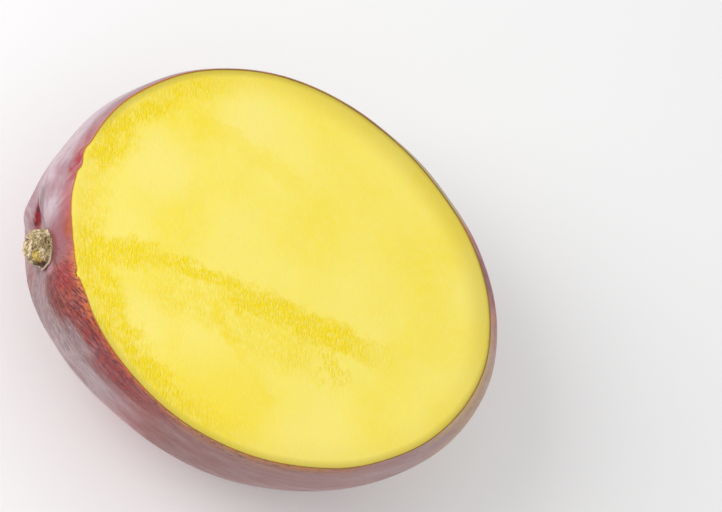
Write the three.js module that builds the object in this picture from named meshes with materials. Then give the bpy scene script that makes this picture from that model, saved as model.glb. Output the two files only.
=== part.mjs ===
// A large ripe mango with one cheek cut off, lying on its uncut side with the cut face up.
// X runs along the cut face's long way with the stem end at -X, and Z is up.
// Lengths are in millimetres. Angles are in degrees round Z from +X, or round the stem where that is said.
import * as THREE from "three";

// The cut face: an oval, a little fuller on one side.
const faceMeanRadius = 54.3;
const faceOval = 3.9;
const faceOvalAngle = -1;
const faceEgg = 1.1;
const faceEggAngle = 167;
const faceCorner = 0.5;
const faceCornerAngle = 12;
const faceSquare = 0.4;
const faceSquareAngle = 6;

// The body below the cut: it widens to its girth, then closes in an elliptical bowl.
const girthDepth = 13;
const bodyDepth = 57;
const leanX = 3.4;
const leanY = 3.3;
const footLean = 0.8;
const footRadius = 10;

// The shoulder that swells out towards the stem.
const shoulderSwell = 7.1;
const shoulderAngle = 202;
const shoulderSpread = 35;

// The stem end: a hollow round the stem, and furrows that run away from it along the skin.
// A furrow's angle is round the stem, from level towards +Y on the outside of the fruit.
const stemAngle = 203.5;
const stemDepth = 11;
const stemHollowDepth = 3.1;
const stemHollowRadius = 8.8;
const furrows = [
  { angle: 189, depth: 1.9, width: 2.8, start: 10, length: 7 },
  { angle: 158, depth: 0.8, width: 3.4, start: 16, length: 12 },
  { angle: 224, depth: 0.9, width: 3.4, start: 14, length: 11 },
  { angle: 35, depth: 0.7, width: 3.2, start: 13, length: 10 },
  { angle: 318, depth: 0.8, width: 3.6, start: 14, length: 11 },
];

// The skin, and the clearance that keeps touching pieces apart.
const peelThickness = 1;
const clearance = 0.4;

// The woody stub: a short collar with a ragged, slightly hollow broken end.
const stubRadius = 4.9;
const stubLength = 4.8;
const stubWaist = 0.94;
const stubFlare = 0.97;
const stubEndHollow = 0.8;
const stubRoughness = 0.3;

// How finely the surfaces are divided. Columns crowd together towards the stem.
const columns = 80;
const columnCrowding = 0.6;
const rows = 20;
const rowCrowding = 0.55;
const stubColumns = 28;

const radians = THREE.MathUtils.degToRad;

const stemOutward = new THREE.Vector3(Math.cos(radians(stemAngle)), Math.sin(radians(stemAngle)), 0);
const stemSideways = new THREE.Vector3(-Math.sin(radians(stemAngle)), Math.cos(radians(stemAngle)), 0);

// Distance from the section's centre to the edge of the cut face, at an angle in radians.
function faceRadius(angle) {
  return faceMeanRadius
    + faceOval * Math.cos(2 * (angle - radians(faceOvalAngle)))
    + faceEgg * Math.cos(angle - radians(faceEggAngle))
    + faceCorner * Math.cos(3 * (angle - radians(faceCornerAngle)))
    + faceSquare * Math.cos(4 * (angle - radians(faceSquareAngle)));
}

// How far the sections have leaned and swollen at a depth: none at the cut, all of it at the girth.
function leanShare(depth, reach) {
  if (depth < girthDepth) {
    return Math.sin((depth / girthDepth) * (Math.PI / 2));
  }
  return 1 - (1 - footLean) * ((depth - girthDepth) / reach) ** 2;
}

// Radius of the level section at a depth, for a wall that lies a given inset inside the skin.
function sectionRadius(angle, depth, inset) {
  const reach = bodyDepth - girthDepth - inset;
  const widening = Math.sqrt(
    (1 - ((depth - girthDepth) / reach) ** 2) / (1 - (girthDepth / reach) ** 2),
  );
  const fromShoulder = Math.atan2(
    Math.sin(angle - radians(shoulderAngle)),
    Math.cos(angle - radians(shoulderAngle)),
  );
  const swell = shoulderSwell * Math.exp(-((fromShoulder / radians(shoulderSpread)) ** 2));
  return (faceRadius(angle) - inset + swell * leanShare(depth, reach)) * widening;
}

function sectionCentre(depth, inset) {
  const share = leanShare(depth, bodyDepth - girthDepth - inset);
  return new THREE.Vector3(leanX * share, leanY * share, -depth);
}

function plainWall(angle, depth, inset) {
  const radius = sectionRadius(angle, depth, inset);
  return sectionCentre(depth, inset).add(
    new THREE.Vector3(radius * Math.cos(angle), radius * Math.sin(angle), 0),
  );
}

const stemSeat = plainWall(radians(stemAngle), stemDepth, 0);

// How deep the hollow lies at a place beside the stem's axis.
function hollowDepth(sideways, upward) {
  return stemHollowDepth * Math.exp(-((Math.hypot(sideways, upward) / stemHollowRadius) ** 2));
}

// How deep the furrows lie at a place beside the stem's axis: each is deepest at its start distance.
function furrowDepth(sideways, upward) {
  let depth = 0;
  for (const furrow of furrows) {
    const along = sideways * Math.cos(radians(furrow.angle)) + upward * Math.sin(radians(furrow.angle));
    const across = upward * Math.cos(radians(furrow.angle)) - sideways * Math.sin(radians(furrow.angle));
    const alongShare = Math.exp(-(((along - furrow.start) / furrow.length) ** 2));
    const acrossShare = Math.exp(-((across / furrow.width) ** 2));
    depth += furrow.depth * alongShare * acrossShare;
  }
  return depth;
}

// A point on the wall, with the stem end's hollow and furrows pressed into it.
function wallPoint(angle, depth, inset) {
  const point = plainWall(angle, depth, inset);
  const fromSeat = point.clone().sub(stemSeat);
  if (fromSeat.dot(stemOutward) < -faceMeanRadius) {
    return point;
  }
  // The cut edge stays level and only moves in, so the cut face stays flat.
  const sideways = fromSeat.dot(stemSideways);
  const pressed = hollowDepth(sideways, fromSeat.z) + furrowDepth(sideways, fromSeat.z);
  return point.addScaledVector(stemOutward, -pressed);
}

// Depths of the rows of a wall, from the cut down to the rim of the flat foot, closer near the cut.
// Walls inside the skin keep the same rows, and only rise off its foot.
function rowDepths(inset) {
  const reach = bodyDepth - girthDepth;
  const cutLatitude = -Math.asin(girthDepth / reach);
  const footLatitude = Math.acos((footRadius / faceMeanRadius) * Math.cos(cutLatitude));
  const footDepth = girthDepth + reach * Math.sin(footLatitude);
  const depths = [0];
  for (let row = 1; row <= rows; row += 1) {
    const step = row / rows;
    const spaced = rowCrowding * step + (1 - rowCrowding) * step ** 2;
    const skinDepth = girthDepth + reach * Math.sin(cutLatitude + spaced * (footLatitude - cutLatitude));
    depths.push(skinDepth - inset * (skinDepth / footDepth) ** 4);
  }
  return depths;
}

function columnAngle(column) {
  const even = ((column % columns) / columns) * 2 * Math.PI - Math.PI;
  return radians(stemAngle) + even - columnCrowding * Math.sin(even);
}

// A closed body of revolution whose points are then moved: placePoint(column, profile entry).
function movedLathe(profile, around, placePoint) {
  const outline = profile.map((entry, index) => new THREE.Vector2(entry.onAxis ? 0 : 1, index));
  const geometry = new THREE.LatheGeometry(outline, around);
  const position = geometry.attributes.position;
  for (let index = 0; index < position.count; index += 1) {
    const column = Math.floor(index / profile.length) % around;
    const point = placePoint(column, profile[index % profile.length]);
    position.setXYZ(index, point.x, point.y, point.z);
  }
  geometry.computeVertexNormals();
  return geometry;
}

function placeOnBody(column, entry) {
  if (entry.onAxis) {
    return sectionCentre(entry.depth, entry.inset);
  }
  return wallPoint(columnAngle(column), entry.depth, entry.inset);
}

// The peel: down the inside from the cut edge's inner line, and back up the outside.
function peelGeometry() {
  const inner = rowDepths(peelThickness).map((depth) => ({ depth, inset: peelThickness }));
  const outer = rowDepths(0).map((depth) => ({ depth, inset: 0 }));
  const innerFloor = { ...inner.at(-1), onAxis: true };
  const foot = { ...outer.at(-1), onAxis: true };
  return movedLathe([foot, ...outer.reverse(), ...inner, innerFloor], columns, placeOnBody);
}

// The flesh fills the peel, up to the flat cut face.
function fleshGeometry() {
  const inset = peelThickness + clearance;
  const wall = rowDepths(inset).map((depth) => ({ depth, inset }));
  const floor = { ...wall.at(-1), onAxis: true };
  const faceCentre = { depth: 0, inset, onAxis: true };
  return movedLathe([floor, ...wall.reverse(), faceCentre], columns, placeOnBody);
}

// How far along the stem's axis the skin lies at a place beside it, found by stepping onto the wall.
function skinHeight(sideways, upward) {
  const depth = stemDepth - upward;
  const centre = sectionCentre(depth, 0);
  let height = 0;
  for (let step = 0; step < 12; step += 1) {
    const point = stemSeat.clone()
      .addScaledVector(stemSideways, sideways)
      .addScaledVector(stemOutward, height);
    const offset = point.sub(centre);
    const angle = Math.atan2(offset.y, offset.x);
    height += sectionRadius(angle, depth, 0) - Math.hypot(offset.x, offset.y);
  }
  return height - hollowDepth(sideways, upward) - furrowDepth(sideways, upward);
}

// The stub: its root follows the skin under it, and its end is ragged and slightly hollow.
function stubGeometry() {
  const profile = [
    { share: 0, lift: 0, onAxis: true },
    { share: 0.35, lift: 0 },
    { share: 0.65, lift: 0 },
    { share: 0.88, lift: 0.02 },
    { share: 1, lift: 0.12 },
    { share: stubWaist, lift: 0.45 },
    { share: 0.96, lift: 0.74 },
    { share: stubFlare, lift: 0.9 },
    { share: 0.86, lift: 1 },
    { share: 0.7, lift: 1, dip: 0.5 },
    { share: 0.4, lift: 1, dip: 0.9 },
    { share: 0, lift: 1, dip: 1, onAxis: true },
  ];
  const placePoint = (column, entry) => {
    const angle = (column / stubColumns) * 2 * Math.PI;
    const outOfRound = 1
      + 0.07 * Math.cos(2 * angle + 0.6)
      + 0.05 * Math.cos(3 * angle + 2.1)
      + 0.03 * Math.cos(7 * angle + 1.3);
    const radius = stubRadius * entry.share * outOfRound;
    const sideways = radius * Math.cos(angle);
    const upward = radius * Math.sin(angle);
    const ragged = stubRoughness * entry.lift * Math.sin(5 * angle + 4 * entry.share) * Math.min(1, entry.share * 2);
    const hollow = stubEndHollow * (entry.dip ?? 0);
    const root = skinHeight(sideways, upward) + clearance;
    const endHeight = skinHeight(0, 0) + clearance + stubLength - hollow + ragged;
    const height = THREE.MathUtils.lerp(root, endHeight, entry.lift);
    return stemSeat.clone()
      .addScaledVector(stemSideways, sideways)
      .addScaledVector(stemOutward, height)
      .add(new THREE.Vector3(0, 0, upward));
  };
  return movedLathe(profile, stubColumns, placePoint);
}

function namedMesh(name, geometry, colour, roughness) {
  const material = new THREE.MeshStandardMaterial({ color: colour, roughness, metalness: 0 });
  const mesh = new THREE.Mesh(geometry, material);
  mesh.name = name;
  return mesh;
}

const mango = new THREE.Group();
mango.add(
  namedMesh("peel", peelGeometry(), 0xa8434a, 0.45),
  namedMesh("flesh", fleshGeometry(), 0xf7e05a, 0.4),
  namedMesh("stem_stub", stubGeometry(), 0xb39a68, 0.85),
);

// The fruit stands on its foot, with the origin under the middle of its box.
const box = new THREE.Box3().setFromObject(mango, true);
const middle = box.getCenter(new THREE.Vector3());
mango.position.set(-middle.x, -middle.y, -box.min.z);

export default mango;
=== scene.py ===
import math

import bpy
from mathutils import Matrix, Vector, noise


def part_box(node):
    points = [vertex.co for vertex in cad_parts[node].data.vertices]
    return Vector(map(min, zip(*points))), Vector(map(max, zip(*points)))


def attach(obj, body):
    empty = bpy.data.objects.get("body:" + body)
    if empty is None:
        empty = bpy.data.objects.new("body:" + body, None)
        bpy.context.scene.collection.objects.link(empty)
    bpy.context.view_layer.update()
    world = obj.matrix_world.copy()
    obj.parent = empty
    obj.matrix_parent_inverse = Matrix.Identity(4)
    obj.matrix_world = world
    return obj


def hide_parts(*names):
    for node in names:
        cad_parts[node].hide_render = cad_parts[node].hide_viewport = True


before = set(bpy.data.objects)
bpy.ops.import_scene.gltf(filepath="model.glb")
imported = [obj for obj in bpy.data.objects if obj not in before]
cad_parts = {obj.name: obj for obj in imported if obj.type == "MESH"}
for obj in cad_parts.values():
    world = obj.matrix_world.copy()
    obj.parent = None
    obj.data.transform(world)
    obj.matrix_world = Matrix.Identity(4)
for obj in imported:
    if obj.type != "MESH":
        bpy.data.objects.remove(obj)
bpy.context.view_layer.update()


# Camera: it looks down on the cut face past the stem end, from an arm's length away.
# It is rolled, so that the stem end points left and the far end points down to the right.
mm = 0.001
nearest_seen = 10 * mm
view_azimuth = math.radians(-26.1)
view_elevation = math.radians(57.9)
view_roll = math.radians(52.1)
view_distance = 700 * mm
lens_length = 139.6
aim_right_of_face = 18.25 * mm
aim_above_face = 3.5 * mm

cut_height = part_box("peel")[1].z
face_centre = Vector((-0.01 * mm, -2.82 * mm, cut_height))

towards_camera = Vector((
    math.sin(view_azimuth) * math.cos(view_elevation),
    -math.cos(view_azimuth) * math.cos(view_elevation),
    math.sin(view_elevation),
))
level_right = Vector((math.cos(view_azimuth), math.sin(view_azimuth), 0))
level_up = towards_camera.cross(level_right)
picture_right = level_right * math.cos(view_roll) + level_up * math.sin(view_roll)
picture_up = level_up * math.cos(view_roll) - level_right * math.sin(view_roll)
aim = face_centre + picture_right * aim_right_of_face + picture_up * aim_above_face
camera_turn = Matrix((picture_right, picture_up, towards_camera)).transposed()

bpy.ops.object.select_all(action="DESELECT")
bpy.ops.object.camera_add()
camera = bpy.context.object
camera.name = "camera"
camera.matrix_world = Matrix.Translation(aim + towards_camera * view_distance) @ camera_turn.to_4x4()
camera.data.lens = lens_length
camera.data.clip_start = nearest_seen
bpy.context.scene.camera = camera
bpy.context.scene.view_settings.view_transform = "Standard"


# Peel: the thin leathery skin of the mango, open at the top where the knife went through it.
# It is waxy and speckled with lenticels, and drawn into folds round the stem.
# It is half a sphere, moved point by point to the fruit's form and given its thickness.
peel_columns = 160
peel_rows = 50
peel_thickness = 0.3 * mm

face_mean_radius = 54.3 * mm
face_oval = 3.9 * mm
face_oval_angle = math.radians(-1)
face_egg = 1.1 * mm
face_egg_angle = math.radians(167)
face_corner = 0.5 * mm
face_corner_angle = math.radians(12)
face_square = 0.4 * mm
face_square_angle = math.radians(6)
girth_depth = 13 * mm
body_depth = 57 * mm
lean_x = 3.4 * mm
lean_y = 3.3 * mm
foot_lean = 0.8
foot_radius = 10 * mm
shoulder_swell = 7.1 * mm
shoulder_angle = math.radians(202)
shoulder_spread = math.radians(35)
stem_angle = math.radians(203.5)
stem_depth = 11 * mm
stem_hollow_depth = 3.1 * mm
stem_hollow_radius = 8.8 * mm
column_crowding = 0.6
row_crowding = 0.55

# Folds run out from the stem: direction, depth, width, distance of the deepest place, and length.
# A negative depth is a low ridge beside the stem. The last entry flattens the shoulder.
folds = (
    (math.radians(193.5), 1.9 * mm, 2.4 * mm, 10 * mm, 7 * mm),
    (math.radians(158), 0.8 * mm, 3.4 * mm, 16 * mm, 12 * mm),
    (math.radians(176), 0.5 * mm, 1.5 * mm, 11.5 * mm, 5 * mm),
    (math.radians(224), 0.9 * mm, 3.4 * mm, 14 * mm, 11 * mm),
    (math.radians(35), 0.7 * mm, 3.2 * mm, 13 * mm, 10 * mm),
    (math.radians(318), 0.8 * mm, 3.6 * mm, 14 * mm, 11 * mm),
    (math.radians(217.5), -1.65 * mm, 4.2 * mm, 14 * mm, 5.6 * mm),
    (math.radians(184), 0.95 * mm, 7 * mm, 29.5 * mm, 6.5 * mm),
)

stem_outward = Vector((math.cos(stem_angle), math.sin(stem_angle), 0))
stem_sideways = Vector((-math.sin(stem_angle), math.cos(stem_angle), 0))


def bell(away, width):
    """One in the middle, and soon nothing beyond its width."""
    return math.exp(-((away / width) ** 2))


def face_radius(around):
    """From the middle of the cut to its rim."""
    return (
        face_mean_radius
        + face_oval * math.cos(2 * (around - face_oval_angle))
        + face_egg * math.cos(around - face_egg_angle)
        + face_corner * math.cos(3 * (around - face_corner_angle))
        + face_square * math.cos(4 * (around - face_square_angle))
    )


def plain_wall(around, latitude, inset):
    """A place on the side without its folds: the rim of the cut is high up, and the foot is low."""
    reach = body_depth - girth_depth - inset
    cut_latitude = -math.asin(girth_depth / reach)
    foot_latitude = math.acos(foot_radius / face_mean_radius * math.cos(cut_latitude))
    foot_depth = girth_depth + reach * math.sin(foot_latitude)
    depth = min(girth_depth + reach * math.sin(latitude), foot_depth)
    widening = math.cos(latitude) / math.cos(cut_latitude)
    if depth < girth_depth:
        lean_share = math.sin(depth / girth_depth * math.pi / 2)
    else:
        lean_share = 1 - (1 - foot_lean) * ((depth - girth_depth) / reach) ** 2
    turn = math.remainder(around - shoulder_angle, 2 * math.pi)
    swell = shoulder_swell * bell(turn, shoulder_spread)
    radius = (face_radius(around) - inset + swell * lean_share) * widening
    return Vector((
        face_centre.x + lean_x * lean_share + radius * math.cos(around),
        face_centre.y + lean_y * lean_share + radius * math.sin(around),
        cut_height - depth,
    ))


def latitude_at(depth, inset):
    return math.asin((depth - girth_depth) / (body_depth - girth_depth - inset))


stem_seat = plain_wall(stem_angle, latitude_at(stem_depth, 0), 0)


def wall_point(around, latitude, inset):
    """The same place with the hollow at the stem and the folds round it."""
    place = plain_wall(around, latitude, inset)
    from_seat = place - stem_seat
    if from_seat.dot(stem_outward) < -face_mean_radius:
        return place
    sideways = from_seat.dot(stem_sideways)
    upwards = from_seat.z
    hollow = stem_hollow_depth * bell(math.hypot(sideways, upwards), stem_hollow_radius)
    for direction, depth, width, start, length in folds:
        along = sideways * math.cos(direction) + upwards * math.sin(direction)
        across = upwards * math.cos(direction) - sideways * math.sin(direction)
        hollow += depth * bell(along - start, length) * bell(across, width)
    return place - stem_outward * hollow


def latitude_of_step(step):
    cut_latitude = latitude_at(0, 0)
    spaced = row_crowding * step + (1 - row_crowding) * step ** 2
    return cut_latitude + spaced * (math.pi / 2 - cut_latitude)


def around_of_turn(turn):
    return stem_angle + turn - column_crowding * math.sin(turn)


def half_turn(vertex):
    """Turn round the sphere, and steps down from its equator (0) to its foot (1)."""
    turn = math.atan2(vertex.co.y, vertex.co.x)
    step = math.atan2(-vertex.co.z, math.hypot(vertex.co.x, vertex.co.y)) / (math.pi / 2)
    return turn, step


def fine_sphere(name):
    bpy.ops.object.select_all(action="DESELECT")
    bpy.ops.mesh.primitive_uv_sphere_add(segments=peel_columns, ring_count=2 * peel_rows, radius=1)
    sphere = bpy.context.object
    sphere.name = name
    finer = sphere.modifiers.new("finer", "SUBSURF")
    finer.subdivision_type = "SIMPLE"
    finer.levels = 1
    finer.render_levels = 1
    bpy.ops.object.modifier_apply(modifier=finer.name)
    return sphere


# Dents and ripples are the same for the peel and the flesh under it. They die out at the foot.
dent_size = 17 * mm
dent_depth = 0.32 * mm
ripple_depth = 0.16 * mm
ripple_reach = 26 * mm
ripple_turns = 7.0
foot_calm = 3 * mm

# Where the knife dragged, the rim stands out and then falls in: each wave's direction, width and size.
rim_waves = (
    (math.radians(178.6), math.radians(2.2), 0.6 * mm),
    (math.radians(182.6), math.radians(1.4), -0.4 * mm),
    (math.radians(184.6), math.radians(0.9), 0.16 * mm),
)
rim_wave_depth = 2.2 * mm


def uneven_wall(around, latitude, inset):
    """The same place with its dents and ripples, and with the waves of the rim."""
    skin_place = wall_point(around, latitude, 0)
    from_seat = skin_place - stem_seat
    stem_turn = math.atan2(from_seat.z, from_seat.dot(stem_sideways))
    stem_distance = from_seat.length
    dent = dent_depth * noise.noise(skin_place / dent_size)
    ripple_place = Vector((
        ripple_turns * math.cos(stem_turn),
        ripple_turns * math.sin(stem_turn),
        stem_distance / ripple_reach,
    ))
    ripple = ripple_depth * noise.noise(ripple_place) * bell(stem_distance, ripple_reach)
    calm = 1 - bell(skin_place.z, foot_calm)
    drag = 0
    for direction, width, size in rim_waves:
        drag += size * bell(math.remainder(around - direction, 2 * math.pi), width)
    drag *= bell(cut_height - skin_place.z, rim_wave_depth)
    place = wall_point(around, latitude, inset)
    outward = Vector((math.cos(around), math.sin(around), 0))
    return place + outward * ((dent + ripple) * calm + drag)


def at(x, y, z):
    """A place or a stretch given in millimetres."""
    return x * mm, y * mm, z * mm


def new_material(name):
    material = bpy.data.materials.new(name)
    material.use_nodes = True
    tree = material.node_tree
    place = add_node(tree, "TexCoord").outputs["Object"]
    return material, tree, tree.nodes["Principled BSDF"], place


def paint(red, green, blue):
    """A colour given as a screen shows it, 0 to 255, as the shaders want it."""
    return tuple(((share / 255 + 0.055) / 1.055) ** 2.4 for share in (red, green, blue)) + (1,)


def add_node(tree, kind, **settings):
    node = tree.nodes.new("ShaderNode" + kind)
    for name, value in settings.items():
        setattr(node, name, value)
    return node


def kept(tree, name, output="Fac"):
    """What each vertex of a piece keeps under a name."""
    return add_node(tree, "Attribute", attribute_name=name).outputs[output]


def feed(tree, socket, value):
    if isinstance(value, bpy.types.NodeSocket):
        tree.links.new(value, socket)
    else:
        socket.default_value = value


def reckon(tree, operation, first, second=0.0):
    node = add_node(tree, "Math", operation=operation)
    feed(tree, node.inputs[0], first)
    feed(tree, node.inputs[1], second)
    return node.outputs["Value"]


def plus(tree, first, second):
    return reckon(tree, "ADD", first, second)


def minus(tree, first, second):
    return reckon(tree, "SUBTRACT", first, second)


def larger(tree, first, second):
    return reckon(tree, "MAXIMUM", first, second)


def both(tree, first, *others):
    """The product of two or more shares."""
    for other in others:
        first = reckon(tree, "MULTIPLY", first, other)
    return first


def rise(tree, value, low, high, start=0.0, end=1.0):
    """Goes smoothly from start to end while value goes from low to high."""
    node = add_node(tree, "MapRange", interpolation_type="SMOOTHSTEP")
    feed(tree, node.inputs["Value"], value)
    feed(tree, node.inputs["From Min"], low)
    feed(tree, node.inputs["From Max"], high)
    feed(tree, node.inputs["To Min"], start)
    feed(tree, node.inputs["To Max"], end)
    return node.outputs["Result"]


def cover(tree, share, below, above):
    """Lays one colour over another by a share from 0 to 1."""
    node = add_node(tree, "Mix", data_type="RGBA")
    feed(tree, node.inputs[0], share)
    feed(tree, node.inputs[6], below)
    feed(tree, node.inputs[7], above)
    return node.outputs[2]


def drawn_out(tree, coordinates, stretch, turn=0.0):
    """Coordinates whose patterns are stretched along the axes, after a turn about the vertical."""
    node = add_node(tree, "Mapping", vector_type="TEXTURE")
    feed(tree, node.inputs["Vector"], coordinates)
    node.inputs["Rotation"].default_value = (0, 0, turn)
    node.inputs["Scale"].default_value = stretch
    return node.outputs["Vector"]


def cloud(tree, coordinates, size, detail=3.0, roughness=0.5):
    node = add_node(tree, "TexNoise")
    feed(tree, node.inputs["Vector"], coordinates)
    node.inputs["Scale"].default_value = 1 / size
    node.inputs["Detail"].default_value = detail
    node.inputs["Roughness"].default_value = roughness
    return node.outputs["Fac"]


def cells(tree, coordinates, size):
    """Distance to the nearest of many scattered points, as a share of their spacing."""
    node = add_node(tree, "TexVoronoi")
    feed(tree, node.inputs["Vector"], coordinates)
    node.inputs["Scale"].default_value = 1 / size
    return node.outputs["Distance"]


def nearness(tree, coordinates, place, core, reach):
    """One within the core of a place, and nothing beyond its reach."""
    node = add_node(tree, "VectorMath", operation="DISTANCE")
    feed(tree, node.inputs[0], coordinates)
    feed(tree, node.inputs[1], place)
    return rise(tree, node.outputs["Value"], core, reach, 1.0, 0.0)


def make_ragged_spot():
    """A node group for a spot with a ragged edge: one in its core and nothing beyond its reach."""
    group = bpy.data.node_groups.new("ragged_spot", "ShaderNodeTree")
    for name in ("Coordinates", "Middle"):
        group.interface.new_socket(name=name, in_out="INPUT", socket_type="NodeSocketVector")
    for name in ("Core", "Reach", "Ragged Size", "Ragged Reach"):
        group.interface.new_socket(name=name, in_out="INPUT", socket_type="NodeSocketFloat")
    group.interface.new_socket(name="Share", in_out="OUTPUT", socket_type="NodeSocketFloat")
    given = group.nodes.new("NodeGroupInput").outputs
    distance = add_node(group, "VectorMath", operation="DISTANCE")
    feed(group, distance.inputs[0], given["Coordinates"])
    feed(group, distance.inputs[1], given["Middle"])
    ragged = add_node(group, "TexNoise")
    ragged.inputs["Detail"].default_value = 3
    feed(group, ragged.inputs["Vector"], given["Coordinates"])
    feed(group, ragged.inputs["Scale"], reckon(group, "DIVIDE", 1.0, given["Ragged Size"]))
    uneven = both(group, minus(group, ragged.outputs["Fac"], 0.5), given["Ragged Reach"])
    away = plus(group, distance.outputs["Value"], uneven)
    share = rise(group, away, given["Core"], given["Reach"], 1.0, 0.0)
    feed(group, group.nodes.new("NodeGroupOutput").inputs["Share"], share)
    return group


ragged_spot = make_ragged_spot()


def patch(tree, coordinates, middle, core, reach, ragged_size, ragged_reach):
    """A ragged spot at a place on a piece."""
    node = add_node(tree, "Group", node_tree=ragged_spot)
    for socket, value in zip(node.inputs, (coordinates, middle, core, reach, ragged_size, ragged_reach)):
        feed(tree, socket, value)
    return node.outputs["Share"]


def facing(tree, coordinates, direction, low, high, uneven=0.0):
    """Rises from low to high along a direction, with an edge as uneven as is asked."""
    node = add_node(tree, "VectorMath", operation="DOT_PRODUCT")
    feed(tree, node.inputs[0], coordinates)
    feed(tree, node.inputs[1], direction)
    return rise(tree, plus(tree, node.outputs["Value"], uneven), low, high)


def raise_surface(tree, shader, height, depth):
    bump = add_node(tree, "Bump")
    bump.inputs["Distance"].default_value = depth
    feed(tree, bump.inputs["Height"], height)
    tree.links.new(bump.outputs["Normal"], shader.inputs["Normal"])


peel = fine_sphere("mango_peel")
bpy.ops.object.mode_set(mode="EDIT")
bpy.ops.mesh.select_all(action="SELECT")
bpy.ops.mesh.bisect(plane_co=(0, 0, 0), plane_no=(0, 0, 1), clear_outer=True)
bpy.ops.object.mode_set(mode="OBJECT")
for vertex in peel.data.vertices:
    turn, step = half_turn(vertex)
    vertex.co = uneven_wall(around_of_turn(turn), latitude_of_step(max(step, 0)), 0)

# The grain runs from the stem over the fruit: round the long axis, and outward from the stem.
axis_far_height = 30 * mm
fruit_length = 122 * mm
girth_spread = 46 * mm
# Deep red darkened with painted shade shows in the crease over the stem, and its upper side lies in painted
# shade:
# the middle of each, sideways and up from the stem, its direction, width and length.
crease_form = (-10.3 * mm, -2.6 * mm, math.radians(169), 1.6 * mm, 4.9 * mm)
shade_form = (-11.8 * mm, 0.8 * mm, math.radians(162), 1.6 * mm, 6 * mm)


def streak_at(sideways, upwards, form):
    middle_side, middle_up, direction, width, length = form
    along = (sideways - middle_side) * math.cos(direction) + (upwards - middle_up) * math.sin(direction)
    across = (upwards - middle_up) * math.cos(direction) - (sideways - middle_side) * math.sin(direction)
    return bell(along, length) * bell(across, width)


peel.data.attributes.new("grain", "FLOAT_VECTOR", "POINT")
peel.data.attributes.new("crease", "FLOAT", "POINT")
peel.data.attributes.new("shade", "FLOAT", "POINT")
grain = peel.data.attributes["grain"]
crease = peel.data.attributes["crease"]
shade = peel.data.attributes["shade"]
for vertex in peel.data.vertices:
    from_seat = vertex.co - stem_seat
    along = -from_seat.dot(stem_outward)
    axis_height = stem_seat.z + (axis_far_height - stem_seat.z) * along / fruit_length
    sideways = from_seat.dot(stem_sideways)
    upwards = vertex.co.z - axis_height
    spread = math.hypot(sideways, upwards)
    grain_turn = math.atan2(upwards, sideways)
    grain_spread = (spread + girth_spread) / 2
    if along < fruit_length / 2:
        crease.data[vertex.index].value = streak_at(sideways, from_seat.z, crease_form)
        shade.data[vertex.index].value = streak_at(sideways, from_seat.z, shade_form)
    grain.data[vertex.index].vector = (
        grain_spread * math.cos(grain_turn),
        grain_spread * math.sin(grain_turn),
        math.hypot(along, spread),
    )

skin, skin_tree, skin_shader, skin_place = new_material("mango_skin")
skin_edge, edge_tree, edge_shader, edge_place = new_material("mango_skin_edge")
peel.data.materials.append(skin)
peel.data.materials.append(skin_edge)
bpy.ops.object.shade_smooth()
thickness = peel.modifiers.new("thickness", "SOLIDIFY")
thickness.thickness = peel_thickness
thickness.offset = -1
thickness.material_offset_rim = 1
bpy.ops.object.modifier_apply(modifier=thickness.name)

# The cut edge is laid level, with one small notch that the knife left.
notch_angle = math.radians(211.3)
notch_width = math.radians(0.6)
notch_depth = 0.9 * mm
for face in peel.data.polygons:
    if face.material_index == 1:
        for index in face.vertices:
            vertex = peel.data.vertices[index]
            around = math.atan2(vertex.co.y - face_centre.y, vertex.co.x - face_centre.x)
            notch_turn = math.remainder(around - notch_angle, 2 * math.pi)
            vertex.co.z = cut_height - notch_depth * bell(notch_turn, notch_width)
bpy.ops.object.shade_smooth_by_angle(angle=math.radians(45))

# The skin's colours, as a screen shows them.
crimson = paint(164, 42, 54)
wine = paint(112, 20, 38)
deep_wine = paint(100, 16, 38)
rosy = paint(190, 112, 118)
apricot = paint(196, 118, 80)
green_gold = paint(174, 158, 88)
lilac = paint(156, 130, 136)
mauve = paint(134, 86, 94)
grey_rose = paint(138, 112, 109)
pale_grey_rose = paint(168, 146, 150)
pale_lilac = paint(186, 166, 173)
dusk = paint(136, 90, 85)
fawn = paint(163, 124, 121)
tan = paint(184, 148, 118)
rose = paint(158, 70, 72)
dull_rose = paint(141, 80, 90)
salmon = paint(146, 62, 40)
brick = paint(152, 58, 34)
russet = paint(112, 38, 28)
maroon = paint(130, 36, 36)
flank_rose = paint(140, 78, 80)
scarlet = paint(160, 20, 22)
amber = paint(200, 122, 48)
burnt_orange = paint(182, 88, 32)
honey = paint(186, 124, 44)
ochre = paint(168, 104, 50)
straw_brown = paint(198, 168, 108)
bruise_red = paint(150, 14, 26)
plum = paint(76, 22, 34)
grey_mauve = paint(112, 84, 88)
pale_hair = paint(180, 158, 158)
pale_silk = paint(192, 176, 184)
light_fleck = paint(180, 82, 58)
dark_fleck = paint(76, 12, 22)
pore_ring = paint(96, 28, 48)
pore_middle = paint(210, 168, 150)
bloom = paint(196, 180, 188)
lip = paint(176, 152, 160)
shade_mauve = paint(112, 82, 86)
crease_shade_red = paint(70, 0, 14)
bright_crease = paint(128, 8, 30)
bark_brown = paint(84, 50, 38)
seat_shade_red = paint(104, 36, 38)
seat_pink = paint(182, 136, 144)

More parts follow.
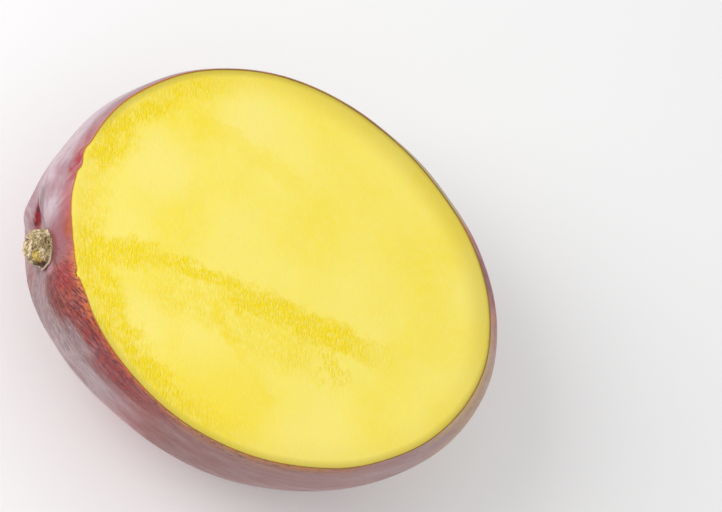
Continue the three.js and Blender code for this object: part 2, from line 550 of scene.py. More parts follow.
tree = skin_tree
place = skin_place
far_end = (1, 0, 0)
stem_end = (-1, 0, 0)
front_flank = (-0.35, -0.94, 0)
grain_place = kept(tree, "grain", "Vector")
dashed = drawn_out(tree, grain_place, (1, 1, 3))
streaky = drawn_out(tree, grain_place, (1, 1, 6))
hair_fine = drawn_out(tree, grain_place, (1, 1, 18))
split_place = add_node(tree, "SeparateXYZ")
feed(tree, split_place.inputs["Vector"], place)
below_cut = minus(tree, cut_height, split_place.outputs["Z"])
seat_place = tuple(stem_seat)
far_tip = stem_seat - stem_outward * fruit_length
near_tip = nearness(tree, place, (far_tip.x, far_tip.y, axis_far_height), 10 * mm, 36 * mm)


def streaks(size, detail=3.0):
    """Noise drawn out along the grain, which turns plain at the far tip, where the grain meets."""
    node = add_node(tree, "Mix", data_type="FLOAT")
    feed(tree, node.inputs[0], near_tip)
    feed(tree, node.inputs[2], cloud(tree, streaky, size, detail))
    feed(tree, node.inputs[3], cloud(tree, place, size, detail))
    return node.outputs[0]


def ragged_colour_spot(below, above, strength, middle, core, reach, ragged_size, ragged_reach):
    """Lays a ragged spot of one colour over another on the skin. Lengths are in millimetres."""
    spot = patch(skin_tree, skin_place, at(*middle), core * mm, reach * mm,
                 ragged_size * mm, ragged_reach * mm)
    return cover(skin_tree, both(skin_tree, spot, strength), below, above)


off_stem = minus(tree, 1.0, nearness(tree, place, seat_place, 9 * mm, 26 * mm))
ragged = both(tree, minus(tree, streaks(4 * mm, 4), 0.5), 14 * mm)
ragged_below = plus(tree, below_cut, both(tree, ragged, off_stem))

# Ground colours: mottled crimson and wine, rosy where the wax is thick, with apricot streaks.
colour = cover(tree, rise(tree, cloud(tree, place, 24 * mm, 3), 0.36, 0.64), crimson, wine)
mottles = cloud(tree, place, 3 * mm, 4, 0.6)
colour = cover(tree, rise(tree, mottles, 0.5, 0.68, 0, 0.5), colour, deep_wine)
colour = cover(tree, rise(tree, cloud(tree, place, 17 * mm, 4), 0.42, 0.66, 0, 0.7), colour, rosy)
colour = cover(tree, rise(tree, streaks(8 * mm, 4), 0.55, 0.68, 0, 0.75), colour, apricot)

# A patch of green gold on the far side, with an apricot fringe and a ragged edge.
far_side = facing(tree, place, (0.5, 0.87, 0), 6 * mm, 42 * mm)
patch_spread = plus(tree, cloud(tree, place, 36 * mm, 2), both(tree, mottles, 0.22))
colour = cover(tree, both(tree, far_side, rise(tree, patch_spread, 0.53, 0.64, 0, 0.7)), colour, apricot)
colour = cover(tree, both(tree, far_side, rise(tree, patch_spread, 0.58, 0.74, 0, 0.95)), colour, green_gold)

# A waxy film dulls the stem side to lilac, and the front to dusky fawn and tan.
# It is palest high up beside the stem and low on the flank, where painted reflection lightens the wax's own
# tone, and it is worn off in patches low down.
behind = facing(tree, place, (0, 1, 0), 0, 25 * mm)
blotches = minus(tree, cloud(tree, place, 13 * mm, 5, 0.6), 0.5)
stem_side = facing(tree, place, stem_end, 6 * mm, 32 * mm, both(tree, blotches, behind, 90 * mm))
film_and_reflection = cover(tree, rise(tree, streaks(6 * mm), 0.4, 0.64, 0, 0.9), lilac, mauve)
low_flank = facing(tree, place, front_flank, 30 * mm, 46 * mm)
film_and_reflection = cover(tree, both(tree, low_flank, 0.7), film_and_reflection, grey_rose)
pale_flank = both(tree, low_flank, facing(tree, place, far_end, -50 * mm, -38 * mm),
                  rise(tree, below_cut, 9 * mm, 17 * mm, 0, 0.7))
film_and_reflection = cover(tree, pale_flank, film_and_reflection, pale_grey_rose)
high_side = facing(tree, place, (-0.98, 0.2, 0), 48 * mm, 58 * mm)
high_film_and_reflection = both(tree, high_side, rise(tree, below_cut, 2 * mm, 6 * mm),
                 rise(tree, below_cut, 9 * mm, 16 * mm, 0.9, 0.1))
film_and_reflection = cover(tree, high_film_and_reflection, film_and_reflection, pale_lilac)
low_down = rise(tree, below_cut, 12 * mm, 28 * mm)
worn_film = both(tree, low_down, rise(tree, cloud(tree, place, 12 * mm, 5, 0.6), 0.44, 0.62), 0.7)
whole_film = minus(tree, 1.0, worn_film)
film_share = both(tree, stem_side, rise(tree, below_cut, 20 * mm, 40 * mm, 1.0, 0.6), whole_film)
colour = cover(tree, film_share, colour, film_and_reflection)
front = facing(tree, place, (0.6, -0.8, 0), 20 * mm, 38 * mm)
front_film = cover(tree, facing(tree, place, far_end, -8 * mm, 44 * mm), dusk, fawn)
front_film = cover(tree, facing(tree, place, far_end, 50 * mm, 62 * mm), front_film, tan)
front_film = cover(tree, rise(tree, streaks(3 * mm, 4), 0.5, 0.7, 0, 0.36), front_film, mauve)
front_share = both(tree, front, rise(tree, below_cut, 24 * mm, 44 * mm, 1.0, 0.55), whole_film)
colour = cover(tree, front_share, colour, front_film)

# Rose under the cut on the stem side, salmon beside the stub, and brick to maroon along the flank.
upper_side = facing(tree, place, (-0.75, -0.66, 0), 28 * mm, 50 * mm)
soft_below = plus(tree, below_cut, both(tree, cloud(tree, place, 9 * mm, 2), 4 * mm))
rose_share = both(tree, stem_side, rise(tree, soft_below, 2.4 * mm, 7 * mm, 0.95, 0.0),
                  rise(tree, upper_side, 0, 1, 0.08, 1.0))
colour = cover(tree, rose_share, colour, rose)
dull_share = both(tree, nearness(tree, place, at(-54.5, -23, 51), 2 * mm, 8 * mm), 0.85)
colour = cover(tree, dull_share, colour, dull_rose)
colour = cover(tree, nearness(tree, place, at(-55, -22, 56.5), 1 * mm, 4.2 * mm), colour, salmon)
flank = both(tree, facing(tree, place, front_flank, 43 * mm, 48 * mm),
             facing(tree, place, stem_end, 2 * mm, 22 * mm))
towards_middle = facing(tree, place, far_end, -47 * mm, -34 * mm)
flank_band = cover(tree, rise(tree, below_cut, 2.5 * mm, 9 * mm), brick, russet)
flank_band = cover(tree, towards_middle, flank_band, maroon)
flank_streaks = rise(tree, cloud(tree, streaky, 3 * mm, 4, 0.6), 0.46, 0.62, 0, 0.5)
flank_band = cover(tree, flank_streaks, flank_band, flank_rose)
pinch = both(tree, nearness(tree, place, at(-38.5, -43, 51), 2 * mm, 9 * mm), 3.8 * mm)
widest = both(tree, nearness(tree, place, at(-50, -32, 48), 4 * mm, 12 * mm), -3 * mm)
band_below = plus(tree, ragged_below, plus(tree, pinch, widest))
flank_share = both(tree, flank, rise(tree, band_below, 6.5 * mm, 12 * mm, 1.0, 0.0))
colour = cover(tree, flank_share, colour, flank_band)
colour = ragged_colour_spot(colour, scarlet, 0.7, (-50, -31.5, 52.5), 1, 6, 3, 5)

# Ochre under the rim, an orange line along it, and a red bruise where the knife caught the skin.
rim_side = facing(tree, place, (-0.2, -0.98, 0), 26 * mm, 44 * mm)
rim_colour = cover(tree, facing(tree, place, far_end, -50 * mm, -38 * mm), amber, burnt_orange)
rim_colour = cover(tree, facing(tree, place, far_end, -26 * mm, -8 * mm), rim_colour, honey)
rim_line = both(tree, rim_side, rise(tree, below_cut, 0.3 * mm, 2.2 * mm, 1.0, 0.0),
                rise(tree, cloud(tree, place, 3 * mm, 3), 0.34, 0.52, 0.3, 1.0))
ochre_side = facing(tree, place, far_end, -24 * mm, -6 * mm)
ochre_share = both(tree, rim_side, ochre_side, rise(tree, ragged_below, 1.5 * mm, 6 * mm, 0.5, 0.0))
colour = cover(tree, ochre_share, colour, ochre)
colour = cover(tree, rim_line, colour, rim_colour)
far_rim_share = both(tree, facing(tree, place, (1, -0.1, 0), 50 * mm, 58 * mm),
                     rise(tree, below_cut, 0.5 * mm, 3 * mm, 0.8, 0.0))
colour = cover(tree, far_rim_share, colour, straw_brown)
bruise_spots = (
    # middle and reach, in millimetres
    ((-58.9, -1.8, 56.2), 2.4),
    ((-58.9, -3.4, 55.8), 2.6),
    ((-59.5, -4.9, 54.5), 2.6),
    ((-59.8, -6.6, 54.0), 1.6),
)
for bruise_middle, bruise_reach in bruise_spots:
    colour = ragged_colour_spot(colour, bruise_red, 0.85, bruise_middle, 0.2, bruise_reach, 1.2, 1.6)

# Hair-fine lines fan out from the stem over the flank, and silky ones over the stem.
near_stem = nearness(tree, place, seat_place, 12 * mm, 55 * mm)
line_side = both(tree, near_stem, facing(tree, place, front_flank, 41 * mm, 50 * mm))
hair_lines = cloud(tree, hair_fine, 0.9 * mm, 3, 0.6)
line_colour = cover(tree, flank_share, grey_mauve, plum)
colour = cover(tree, both(tree, line_side, rise(tree, hair_lines, 0.5, 0.62, 0, 0.85)), colour, line_colour)
pale_lines = both(tree, line_side, rise(tree, hair_lines, 0.36, 0.46, 0.5, 0),
                  rise(tree, flank_share, 0, 1, 1, 0.25))
colour = cover(tree, pale_lines, colour, pale_hair)
over_stem = both(tree, near_stem, facing(tree, place, (-0.95, 0.3, 0), 46 * mm, 54 * mm))
silk = cloud(tree, hair_fine, 1.8 * mm, 2)
colour = cover(tree, both(tree, over_stem, rise(tree, silk, 0.48, 0.7, 0, 0.4)), colour, mauve)
colour = cover(tree, both(tree, over_stem, rise(tree, silk, 0.3, 0.5, 0.32, 0)), colour, pale_silk)

# Dark dashes and flecks along the grain, and pores with a pale middle.
dashes = rise(tree, cloud(tree, dashed, 1.0 * mm, 3, 0.55), 0.57, 0.65)
dash_side = facing(tree, place, front_flank, 38 * mm, 50 * mm)
dash_share = both(tree, dashes, dash_side, rise(tree, below_cut, 3 * mm, 10 * mm, 0.9, 0.25))
colour = cover(tree, dash_share, colour, plum)
flecks = cloud(tree, dashed, 0.9 * mm, 3, 0.6)
fleck_patches = rise(tree, cloud(tree, place, 6 * mm, 3), 0.38, 0.6, 0.35, 1.0)
along_rim = both(tree, rim_side, rise(tree, below_cut, 1 * mm, 4 * mm, 0.7, 0.0))
fleck_side = both(tree, flank, rise(tree, band_below, 5 * mm, 11 * mm, 1.0, 0.0), fleck_patches)
fleck_side = larger(tree, fleck_side, along_rim)
colour = cover(tree, both(tree, fleck_side, rise(tree, flecks, 0.36, 0.46, 0.5, 0.0)), colour, light_fleck)
colour = cover(tree, both(tree, fleck_side, rise(tree, flecks, 0.53, 0.61, 0.0, 0.8)), colour, dark_fleck)
bare_side = minus(tree, 1.0, larger(tree, stem_side, front))
bare_share = larger(tree, rise(tree, bare_side, 0, 1, 0.28, 0.9), both(tree, low_down, 0.6))
pore_share = both(tree, bare_share, rise(tree, cloud(tree, place, 5 * mm, 2), 0.35, 0.6, 0.25, 1.0))
pore = cells(tree, place, 2.1 * mm)
colour = cover(tree, both(tree, rise(tree, pore, 0.12, 0.26, 0.9, 0.0), pore_share), colour, pore_ring)
colour = cover(tree, both(tree, rise(tree, pore, 0.03, 0.07, 0.7, 0.0), pore_share), colour, pore_middle)

# The waxy bloom lies in long pale streaks.
beside_stub = nearness(tree, place, at(-54.6, -23.5, 54), 5 * mm, 10 * mm)
bloom_share = both(tree, rise(tree, streaks(6 * mm), 0.44, 0.76, 0.0, 0.32),
                   minus(tree, 1.0, both(tree, flank_share, 0.75)),
                   minus(tree, 1.0, beside_stub))
colour = cover(tree, bloom_share, colour, bloom)

# Painted shade in the fold above the stem, dull mauve above the stem, and brown painted shade beside the
# stub:
# colour, strength, then middle, core, reach, size of the ragged edge's teeth and their reach, in
# millimetres.
stem_mauve_and_shade = (
    (paint(124, 98, 106), 0.35, (-62.3, -13.2, 45.4), 1, 7, 4, 4),
    (paint(146, 92, 104), 0.55, (-61, -10.8, 50.9), 0.6, 4.6, 3, 3),
    (paint(146, 92, 104), 0.55, (-61.4, -6.2, 51.3), 0.6, 4.6, 3, 3),
    (paint(108, 66, 68), 0.6, (-60.2, -18.8, 40.8), 0.6, 2.6, 2, 1.4),
)
for spot_colour, strength, *form in stem_mauve_and_shade:
    colour = ragged_colour_spot(colour, spot_colour, strength, *form)

# Deep red in the fold over the stem, darkened with painted shade, between a pale lip of painted highlight
# and a side in painted shade.
crease_here = kept(tree, "crease")
shade_here = kept(tree, "shade")
crease_noise = cloud(tree, streaky, 1.2 * mm, 3)
colour = cover(tree, rise(tree, crease_here, 0.06, 0.4, 0, 0.35), colour, lip)
shade_ragged = plus(tree, shade_here, both(tree, crease_noise, 0.5))
colour = cover(tree, rise(tree, shade_ragged, 0.3, 1.3, 0, 0.7), colour, shade_mauve)
crease_ragged = plus(tree, crease_here, both(tree, crease_noise, 0.6))
crease_share = rise(tree, crease_ragged, 0.4, 1.15)
crease_mottles = rise(tree, cloud(tree, place, 1.4 * mm, 3), 0.35, 0.6)
colour = cover(tree, crease_share, colour, cover(tree, crease_mottles, crease_shade_red, bright_crease))

# The stub's seat: a drop of dark bark, a line of painted shade all round it, and a pink patch below.
bark_tip = tuple(stem_seat + stem_sideways * 3.7 * mm + Vector((0, 0, -5.3 * mm)) - stem_outward * 2 * mm)
bark_share = patch(tree, place, bark_tip, 0.4 * mm, 1.6 * mm, 0.8 * mm, 1 * mm)
colour = cover(tree, bark_share, colour, bark_brown)
seat_shade = nearness(tree, place, tuple(stem_seat - stem_outward * stem_hollow_depth), 5 * mm, 6 * mm)
colour = cover(tree, both(tree, seat_shade, 0.35), colour, seat_shade_red)
colour = ragged_colour_spot(colour, seat_pink, 0.7, (-52.9, -29.2, 46.2), 0.6, 2.8, 2, 1.6)
tree.links.new(colour, skin_shader.inputs["Base Color"])
skin_shader.inputs["IOR"].default_value = 1.5
skin_shader.inputs["Specular IOR Level"].default_value = 0.36
skin_roughness = rise(tree, streaks(2 * mm), 0.3, 0.7, 0.34, 0.5)
skin_roughness = plus(tree, skin_roughness, both(tree, crease_share, 0.4))
tree.links.new(skin_roughness, skin_shader.inputs["Roughness"])
ridges = both(tree, cloud(tree, hair_fine, 1.4 * mm, 3, 0.6), rise(tree, line_side, 0, 1, 0.12, 1.0))
dimples = both(tree, cloud(tree, place, 0.9 * mm, 2), 0.3)
pore_bumps = rise(tree, pore, 0.04, 0.26, 0.25, 0.0)
skin_relief = plus(tree, plus(tree, ridges, dimples), pore_bumps)
raise_surface(tree, skin_shader, skin_relief, 0.28 * mm)

# The cut edge of the skin: ochre and orange brown, brighter beside the stem.
tree = edge_tree
place = edge_place
edge_patches = rise(tree, cloud(tree, place, 4 * mm), 0.42, 0.62)
edge_colour = cover(tree, edge_patches, paint(140, 100, 44), paint(172, 104, 40))
edge_side = facing(tree, place, (-0.95, -0.1, 0), 25 * mm, 50 * mm)
edge_colour = cover(tree, edge_side, edge_colour, paint(206, 112, 46))
tree.links.new(edge_colour, edge_shader.inputs["Base Color"])
edge_shader.inputs["Roughness"].default_value = 0.5
raise_surface(tree, edge_shader, cloud(tree, place, 0.4 * mm), 0.1 * mm)
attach(peel, "root")
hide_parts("peel")


# Flesh: the juicy yellow pulp that fills the peel, cut flat across the top by a knife.
# Fibre ends show in the cut as golden speckled bands round the place of the stone.
# It is a whole sphere: its lower half follows the peel, and its upper half is laid flat as the cut.
flesh_inset = 0.34 * mm
knife_wave = 0.07 * mm
knife_wave_size = 9 * mm

flesh = fine_sphere("mango_flesh")

# Each place on the cut keeps its distance from the rim, for the ring of fibres and the dull edge.
from_rim = flesh.data.attributes.new("from_rim", "FLOAT", "POINT")
rim_latitude = latitude_at(0, 0)
for vertex in flesh.data.vertices:
    turn, step = half_turn(vertex)
    around = around_of_turn(turn)
    if step < 0:
        rim_point = uneven_wall(around, rim_latitude, flesh_inset)
        rim_point.z = cut_height
        place = rim_point.lerp(face_centre, -step)
        away = (rim_point - place).length
        wave = noise.noise(place / knife_wave_size) * knife_wave * min(1, away / (2 * mm))
        vertex.co = place + Vector((0, 0, wave))
        from_rim.data[vertex.index].value = away
    else:
        place = uneven_wall(around, latitude_of_step(step), flesh_inset)
        place.z = min(max(place.z, flesh_inset), cut_height)
        vertex.co = place
bpy.ops.object.shade_smooth_by_angle(angle=math.radians(45))

pulp, tree, shader, place = new_material("mango_pulp")
rim_distance = kept(tree, "from_rim")

straw = paint(252, 233, 112)
butter = paint(249, 227, 78)
cream = paint(252, 235, 132)
gold = paint(246, 220, 0)
pale_fibre = paint(253, 240, 160)
olive = paint(200, 178, 62)


def on_cut(x, y):
    """A place on the cut given in millimetres."""
    return x * mm, y * mm, cut_height


colour = cover(tree, rise(tree, cloud(tree, place, 26 * mm, 1), 0.3, 0.7), butter, straw)
for pale_x, pale_y, pale_reach in ((-29.5, -34, 11), (22, -42, 15), (-41, 5, 14), (-24, 30, 12)):
    pale_share = nearness(tree, place, on_cut(pale_x, pale_y), pale_reach * mm / 4, pale_reach * mm)
    colour = cover(tree, both(tree, pale_share, 0.6), colour, cream)
mottle = rise(tree, cloud(tree, place, 2.2 * mm, 4, 0.62), 0.4, 0.68, 0.0, 0.22)
colour = cover(tree, mottle, colour, cream)

# The fibre band along the middle, the ring of fibres inside the rim, and two fainter streaks.
wander = add_node(tree, "TexNoise")
feed(tree, wander.inputs["Vector"], place)
wander.inputs["Scale"].default_value = 1 / (7 * mm)
wander.inputs["Detail"].default_value = 2.0
drift = add_node(tree, "VectorMath", operation="MULTIPLY_ADD")
feed(tree, drift.inputs[0], wander.outputs["Color"])
feed(tree, drift.inputs[1], (5 * mm, 5 * mm, 0))
feed(tree, drift.inputs[2], place)
split = add_node(tree, "SeparateXYZ")
feed(tree, split.inputs["Vector"], drift.outputs["Vector"])
along_x = minus(tree, split.outputs["X"], 2.5 * mm)
along_y = minus(tree, split.outputs["Y"], 2.5 * mm)
feathering = both(tree, minus(tree, cloud(tree, place, 2 * mm, 3), 0.5), 6 * mm)


def band(start, end, half_width, bow=0.0, fade=0.0):
    """A soft band from one place on the cut to another, bowed sideways at its middle, in millimetres."""
    half_width *= mm
    length_x = end[0] * mm - start[0] * mm
    length_y = end[1] * mm - start[1] * mm
    length = math.hypot(length_x, length_y)
    ahead_x = length_x / length
    ahead_y = length_y / length
    from_start_x = minus(tree, along_x, start[0] * mm)
    from_start_y = minus(tree, along_y, start[1] * mm)
    along = plus(tree, both(tree, from_start_x, ahead_x), both(tree, from_start_y, ahead_y))
    across = minus(tree, both(tree, from_start_y, ahead_x), both(tree, from_start_x, ahead_y))
    rest = minus(tree, length, along)
    bowed = both(tree, along, rest, 4 * (bow * mm) / length ** 2)
    away = plus(tree, reckon(tree, "ABSOLUTE", minus(tree, across, bowed)), feathering)
    share = rise(tree, away, half_width * 0.3, half_width, 1.0, 0.0)
    share = both(tree, share, rise(tree, along, -half_width, half_width))
    return both(tree, share, rise(tree, rest, -half_width, half_width + fade * mm))


thin_band = band((-35, -17.5), (-6, -14.5), 3.4)
wide_band = band((-14, -16.5), (36, -11), 6, fade=16)
hook_band = band((-50, -30), (-31, -17.5), 6, bow=2)
branch_band = band((-15, -21), (10, -39), 2.6)
upper_band = band((-40, 23), (-4, 20), 4)
feather_band = band((-32, -23.5), (18, -22.5), 8)
loose_end = nearness(tree, place, on_cut(19, -20), 3 * mm, 10 * mm)
ring_wander = both(tree, cloud(tree, place, 9 * mm, 3), 9 * mm)
ring_away = reckon(tree, "ABSOLUTE", minus(tree, rim_distance, ring_wander))
ring_side = facing(tree, place, (-0.93, -0.37, 0), 6 * mm, 38 * mm)
ring_gap = nearness(tree, place, on_cut(-55, -12), 3 * mm, 14 * mm)
ring_share = both(tree, rise(tree, plus(tree, ring_away, feathering), 0.6 * mm, 6.4 * mm, 1.0, 0.0),
                  ring_side, rise(tree, ring_gap, 0, 1, 1, 0.45))

# Cut fibre ends speckle the bands, and lie in short strokes across the cut.
stroke_place = drawn_out(tree, place, (1, 2.6, 1), math.radians(21))
strokes = rise(tree, cloud(tree, stroke_place, 0.6 * mm, 3, 0.6), 0.4, 0.58)
patchy = rise(tree, cloud(tree, place, 3.6 * mm, 4, 0.6), 0.4, 0.58)
speckled = plus(tree, both(tree, strokes, 0.35), both(tree, patchy, 0.65))
lines = larger(tree, wide_band, both(tree, thin_band, 0.85))
lines = larger(tree, lines, both(tree, hook_band, 0.9))
uneven_gold = plus(tree, both(tree, strokes, 0.4), both(tree, patchy, 0.35))
lines = both(tree, lines, plus(tree, uneven_gold, 0.58))
lines = larger(tree, lines, both(tree, loose_end, strokes, patchy, 0.8))
lines = larger(tree, lines, both(tree, feather_band, uneven_gold, 0.8))
ring_gold = plus(tree, both(tree, speckled, 0.95), 0.35)
golden = larger(tree, lines, both(tree, ring_share, ring_gold))
golden = reckon(tree, "MINIMUM", golden, 1.0)
soft = larger(tree, both(tree, branch_band, 0.95), both(tree, upper_band, 0.6))
golden_patch = nearness(tree, place, on_cut(-1.5, -40), 3 * mm, 17 * mm)
soft = larger(tree, soft, golden_patch)
colour = cover(tree, both(tree, soft, 0.5), colour, gold)
colour = cover(tree, golden, colour, gold)

# Pale strokes between the fibre ends, and the duller layer next to the peel.
stroke_share = plus(tree, both(tree, larger(tree, lines, ring_share), 0.32), 0.14)
dashes = both(tree, rise(tree, cloud(tree, stroke_place, 0.42 * mm, 3, 0.6), 0.52, 0.68), stroke_share)
colour = cover(tree, dashes, colour, pale_fibre)
dull_side = facing(tree, place, (0.94, -0.34, 0), -42 * mm, -8 * mm)
top_side = facing(tree, place, (-0.35, 0.94, 0), 16 * mm, 32 * mm)
dull_side = larger(tree, rise(tree, dull_side, 0, 1, 0.1, 0.8), top_side)
edge_dull = both(tree, rise(tree, rim_distance, 0.1 * mm, 2.8 * mm, 0.85, 0.0), dull_side)
far_rim = facing(tree, place, (0.55, 0.83, 0), 5 * mm, 50 * mm)
wide_dull = both(tree, rise(tree, rim_distance, 0, 9 * mm, 0.55, 0.0), rise(tree, far_rim, 0, 1, 0.3, 1))
colour = cover(tree, larger(tree, edge_dull, wide_dull), colour, olive)
tree.links.new(colour, shader.inputs["Base Color"])
shader.inputs["Specular IOR Level"].default_value = 0.36
shader.inputs["Subsurface Weight"].default_value = 0.25
shader.inputs["Subsurface Radius"].default_value = (2.5 * mm, 1.6 * mm, 0.5 * mm)
shader.inputs["Subsurface Scale"].default_value = 1.0
roughness = rise(tree, cloud(tree, place, 2 * mm, 3), 0.3, 0.7, 0.35, 0.55)
tree.links.new(roughness, shader.inputs["Roughness"])
pulp_relief = plus(tree, cloud(tree, place, 0.8 * mm, 3, 0.6), both(tree, dashes, 0.4))
pulp_relief = plus(tree, pulp_relief, both(tree, golden, strokes, 0.7))
raise_surface(tree, shader, pulp_relief, 0.1 * mm)
flesh.data.materials.append(pulp)
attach(flesh, "root")
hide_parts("flesh")


# Stem stub: the broken-off end of the woody stalk, a short rough plug with a ragged rim.
# A collar holds it in the hollow of the peel. Sap has dried on it in an amber drop.
# It is a sphere drawn out along the stem, point by point, and roughened as broken wood is.
stub_radius = 4.7 * mm
stub_height_radius = 3.9 * mm
stub_shift_sideways = -1.1 * mm
stub_shift_down = 1.3 * mm
stub_length = 5.4 * mm
stub_sunk = 0.3 * mm
stub_columns = 96
stub_rows = 60
lump_size = 2.1 * mm
lump_depth = 0.5 * mm
splinter_size = 0.7 * mm
splinter_depth = 0.3 * mm
splinter_origin = Vector((7, 3, 5))
lip_turn = math.radians(18)
lip_spread = math.radians(46)
lip_height = 0.36 * mm

# How far up the stub its parts begin, as shares of its length, and the ring's share of the radius.
lip_lift = 0.1
lip_band = 0.06
grown_from = 0.02
broken_from = 0.72
end_from = 0.88
ring_middle = 0.6
ring_width = 0.1

# What makes the stub out of round: the number of lobes, their size as a share, and their turn.
stub_lobes = ((4, 0.05, 4.26), (3, 0.03, 2.1), (7, 0.03, 1.3))

# From the middle of the root to the middle of the broken end: share of the radius, and lift.
stub_outline = (
    (0, 0), (0.5, 0), (0.9, 0), (1.05, 0.0), (1.1, 0.1), (1.0, 0.14), (0.98, 0.26),
    (0.98, 0.42), (0.97, 0.58), (0.93, 0.7), (0.86, 0.78), (0.76, 0.84), (0.68, 0.96),
    (0.6, 1.1), (0.52, 0.98), (0.44, 0.82), (0.26, 0.78), (0, 0.84),
)


def skin_height(sideways, upwards):
    """How far out the skin lies beside the stem's seat, found from 20 mm outside."""
    above = stem_seat + stem_sideways * sideways + Vector((0, 0, upwards)) + stem_outward * 20 * mm
    place = peel.ray_cast(above, -stem_outward)[1]
    return (place - stem_seat).dot(stem_outward)


def outline_at(share):
    spot = share * (len(stub_outline) - 1)
    before = min(int(spot), len(stub_outline) - 2)
    between = spot - before
    start = stub_outline[before]
    end = stub_outline[before + 1]
    return start[0] + (end[0] - start[0]) * between, start[1] + (end[1] - start[1]) * between


bpy.context.view_layer.update()
bpy.ops.object.select_all(action="DESELECT")
bpy.ops.mesh.primitive_uv_sphere_add(segments=stub_columns, ring_count=stub_rows, radius=1)
stub = bpy.context.object
stub.name = "mango_stem_stub"
stub.data.attributes.new("relief", "FLOAT", "POINT")
stub.data.attributes.new("collar", "FLOAT", "POINT")
stub.data.attributes.new("ring", "FLOAT", "POINT")
relief = stub.data.attributes["relief"]
collar = stub.data.attributes["collar"]
ring_of_end = stub.data.attributes["ring"]
crown_height = skin_height(0, 0) - stub_sunk
for vertex in stub.data.vertices:
    turn, step = half_turn(vertex)
    radius_share, lift = outline_at((1 - step) / 2)
    out_of_round = 1
    for lobes, lobe_size, lobe_turn in stub_lobes:
        out_of_round += lobe_size * math.cos(lobes * turn + lobe_turn)
    sideways = stub_shift_sideways + stub_radius * radius_share * out_of_round * math.cos(turn)
    upwards = -stub_shift_down + stub_height_radius * radius_share * out_of_round * math.sin(turn)
    root = skin_height(sideways, upwards) - stub_sunk
    rise_here = root + (crown_height + stub_length - root) * lift
    place = stem_seat + stem_sideways * sideways + stem_outward * rise_here + Vector((0, 0, upwards))
    outward = stem_sideways * math.cos(turn) + Vector((0, 0, math.sin(turn)))
    facing_out = outward * min(1, radius_share * 1.5) + stem_outward * max(0, lift - 0.6) * 2
    lump = noise.noise(place / lump_size) * lump_depth
    splinter_noise = noise.noise(place / splinter_size + splinter_origin)
    splinter = (0.5 - abs(splinter_noise) * 2.2) * splinter_depth
    grown = min(1, max(0, lift - grown_from) * 8)
    broken = min(1, max(0, lift - broken_from) * 5)
    lip = math.exp(-((math.remainder(turn - lip_turn, 2 * math.pi) / lip_spread) ** 4))
    lip *= bell(lift - lip_lift, lip_band) if radius_share > 0.9 else 0
    vertex.co = (
        place
        + facing_out * (lump + splinter * (1 + 0.9 * broken)) * grown
        + (outward + stem_outward) * lip_height * lip * (1 + 3 * noise.noise(place / lump_size))
    )
    relief.data[vertex.index].value = (lump + 2 * splinter) / (lump_depth + splinter_depth)
    collar.data[vertex.index].value = lip
    ring_share = bell(radius_share - ring_middle, ring_width) if lift > end_from else 0
    ring_of_end.data[vertex.index].value = ring_share
bpy.ops.object.shade_smooth()
rounding = stub.modifiers.new("rounding", "SUBSURF")
rounding.levels = 1
rounding.render_levels = 1
bpy.ops.object.modifier_apply(modifier=rounding.name)

wood, tree, shader, place = new_material("mango_stem_wood")
relief_here = kept(tree, "relief")
collar_here = kept(tree, "collar")


def stub_spot(sideways, upwards, outward, core, reach):
    """A ragged spot on the stub, placed from the middle of its root, in millimetres."""
    root = stem_seat + stem_sideways * stub_shift_sideways + stem_outward * crown_height
    middle = (root - Vector((0, 0, stub_shift_down)) + stem_sideways * (sideways * mm)
              + stem_outward * (outward * mm) + Vector((0, 0, upwards * mm)))
    return patch(tree, place, tuple(middle), core * mm, reach * mm, 1.1 * mm, 2.6 * mm)


bark_dark_and_shade = paint(68, 46, 36)
bark_buff = paint(170, 150, 106)
bark_pale_and_highlight = paint(224, 206, 168)
moss_green = paint(150, 140, 34)
grain_brown = paint(84, 62, 46)
end_brown_and_shade = paint(88, 62, 54)
end_buff_and_highlight = paint(222, 202, 160)
ring_cream = paint(230, 208, 176)
dark_brown_spot = paint(62, 34, 26)
dark_sap = paint(140, 78, 22)
clear_sap = paint(188, 158, 48)
collar_pink = paint(196, 164, 148)

# Dark in the hollows and pale on the ridges: the broken wood's own cracks and fibres, with painted shade in
# the hollows and painted highlight on the ridges.
colour = cover(tree, rise(tree, relief_here, -0.75, -0.1), bark_dark_and_shade, bark_buff)
colour = cover(tree, rise(tree, relief_here, 0.12, 0.6), colour, bark_pale_and_highlight)
green = stub_spot(-3.6, 0.2, 2.4, 0.9, 2)
colour = cover(tree, both(tree, green, 0.7), colour, moss_green)
granules = cells(tree, place, 0.45 * mm)
colour = cover(tree, rise(tree, granules, 0.5, 0.75, 0, 0.6), colour, grain_brown)
ring_here = kept(tree, "ring")
# On the broken end too: brown in the hollows, partly painted shade, and buff on the ridges, partly painted
# highlight.
end_tip = stub_spot(-0.6, -0.6, 5.8, 1.8, 3)
end_ridges = both(tree, end_tip, rise(tree, relief_here, 0.2, 0.6))
colour = cover(tree, both(tree, end_tip, rise(tree, relief_here, 0.0, -0.5)), colour, end_brown_and_shade)
colour = cover(tree, both(tree, end_ridges, 0.85), colour, end_buff_and_highlight)
ring_broken = rise(tree, cloud(tree, place, 1.0 * mm, 4, 0.6), 0.42, 0.54)
colour = cover(tree, both(tree, rise(tree, ring_here, 0.3, 0.75), ring_broken, 0.9), colour, ring_cream)
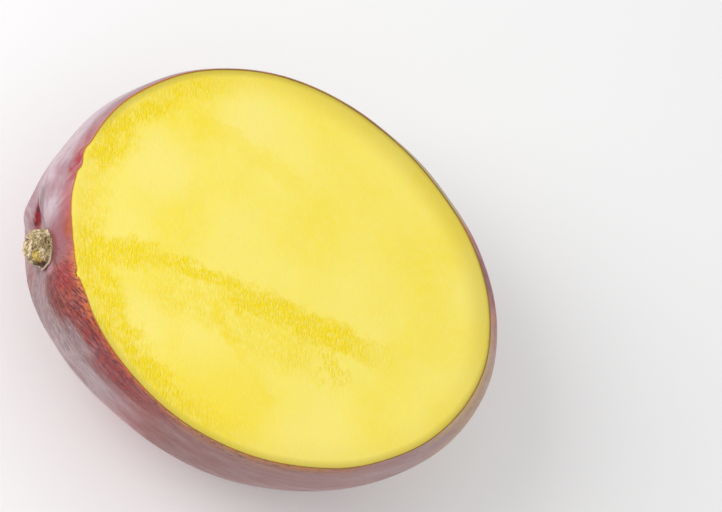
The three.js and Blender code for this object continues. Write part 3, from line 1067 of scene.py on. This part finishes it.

# Dried sap under the broken end, amber over orange brown, with a dark brown spot below it.
under_sap_spot = stub_spot(4.3, 0.5, 1.9, 1.2, 2.5)
colour = cover(tree, both(tree, under_sap_spot, 0.9), colour, dark_brown_spot)
sap_brown = stub_spot(3.8, 1.5, 3.1, 0.6, 1.5)
colour = cover(tree, both(tree, sap_brown, 0.9), colour, dark_sap)
sap = stub_spot(2.9, 1.9, 3.5, 0.9, 1.9)
colour = cover(tree, both(tree, sap, 0.85), colour, clear_sap)
collar_share = rise(tree, collar_here, 0.25, 0.6)
colour = cover(tree, both(tree, collar_share, 0.85), colour, collar_pink)
tree.links.new(colour, shader.inputs["Base Color"])
tree.links.new(rise(tree, sap, 0.2, 0.8, 0.75, 0.3), shader.inputs["Roughness"])
raise_surface(tree, shader, both(tree, granules, rise(tree, sap, 0.1, 0.8, -1, -0.2)), 0.22 * mm)
stub.data.materials.append(wood)
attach(stub, "root")
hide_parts("stem_stub")


# Floor: a plain pale table top, painted matt.
# It is one large square, in the plane on which the mango rests.
floor_size = 6
bpy.ops.object.select_all(action="DESELECT")
bpy.ops.mesh.primitive_plane_add(size=floor_size)
floor = bpy.context.object
floor.name = "floor"
floor_paint, tree, shader, place = new_material("floor_paint")
shader.inputs["Base Color"].default_value = paint(250, 250, 250)
shader.inputs["Roughness"].default_value = 0.9
floor.data.materials.append(floor_paint)


# Light: a white room, which lights the mango from all sides.
# A large softbox stands above the stem side, and a low one beside the stem.
room_brightness = 0.72
softboxes = (
    # name, direction, distance, size, power
    ("softbox_above", towards_camera * 0.9 + picture_up * 0.45 - picture_right * 0.5, 1.1, 0.6, 5.2),
    ("softbox_beside", Vector((-0.93, -0.25, 0.22)), 0.6, 0.3, 0.8),
)

world = bpy.data.worlds.new("studio")
bpy.context.scene.world = world
world.use_nodes = True
world.node_tree.nodes["Background"].inputs["Color"].default_value = (1, 1, 1, 1)
world.node_tree.nodes["Background"].inputs["Strength"].default_value = room_brightness

for name, direction, distance, size, power in softboxes:
    direction = direction.normalized()
    bpy.ops.object.light_add(type="AREA")
    softbox = bpy.context.object
    softbox.name = name
    softbox.data.size = size
    softbox.data.energy = power
    softbox.matrix_world = (
        Matrix.Translation(face_centre + direction * distance)
        @ direction.to_track_quat("Z", "Y").to_matrix().to_4x4()
    )
